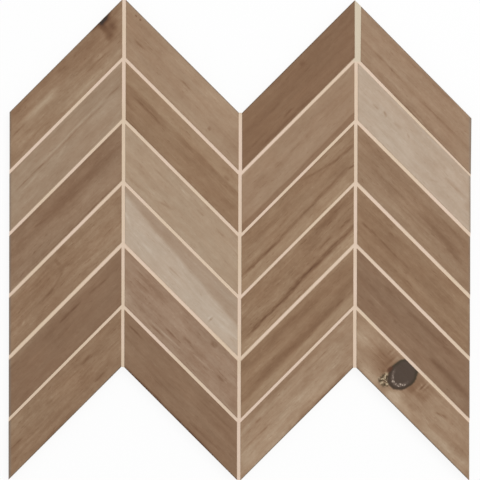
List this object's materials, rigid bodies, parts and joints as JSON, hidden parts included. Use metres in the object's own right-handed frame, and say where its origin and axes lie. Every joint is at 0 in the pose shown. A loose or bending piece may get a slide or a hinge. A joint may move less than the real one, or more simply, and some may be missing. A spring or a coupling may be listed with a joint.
{
  "type": "chevron mosaic wall tile sheet",
  "caption": "Chevron wall tile: a flat sheet of mitred wood-look porcelain chips with cream joints, zigzag top and bottom edges and a glass-fibre net on its back",
  "frame": {"origin": "on the floor under the middle of the sheet, which lies on its back", "axes": "+X across the columns to the right, +Y up the wall as hung, +Z out of the face"},
  "size_m": [0.3798, 0.395, 0.0085],
  "materials": {
    "chip_pale": "matte porcelain printed as wood, pale bleached oak, with fine grain relief; plain fired body on sides and back",
    "chip_light": "matte porcelain printed as wood, light brown oak, with fine grain relief; plain fired body on sides and back",
    "chip_mid": "matte porcelain printed as wood, mid brown oak, with fine grain relief; plain fired body on sides and back",
    "chip_dark": "matte porcelain printed as wood, dark brown oak, with fine grain relief; plain fired body on sides and back",
    "grout": "cream sanded cement joint filler, matte",
    "glass_net": "white glass-fibre yarn, stiffened with resin"
  },
  "bodies": {
    "root": {"chip_c1_r1": "chip_mid", "chip_c1_r2": "chip_light", "chip_c1_r3": "chip_dark", "chip_c1_r4": "chip_mid", "chip_c1_r5": "chip_dark", "chip_c1_r6": "chip_mid", "chip_c2_r1": "chip_light", "chip_c2_r2": "chip_mid", "chip_c2_r3": "chip_pale", "chip_c2_r4": "chip_pale", "chip_c2_r5": "chip_light", "chip_c2_r6": "chip_dark", "chip_c3_r1": "chip_dark", "chip_c3_r2": "chip_light", "chip_c3_r3": "chip_mid", "chip_c3_r4": "chip_mid", "chip_c3_r5": "chip_mid", "chip_c3_r6": "chip_light", "chip_c4_r1": "chip_light", "chip_c4_r2": "chip_pale", "chip_c4_r3": "chip_mid", "chip_c4_r4": "chip_mid", "chip_c4_r5": "chip_dark", "chip_c4_r6": "chip_light", "joint_grout": "grout", "net_warp": "glass_net", "net_weft": "glass_net"}
  },
  "joints": []
}
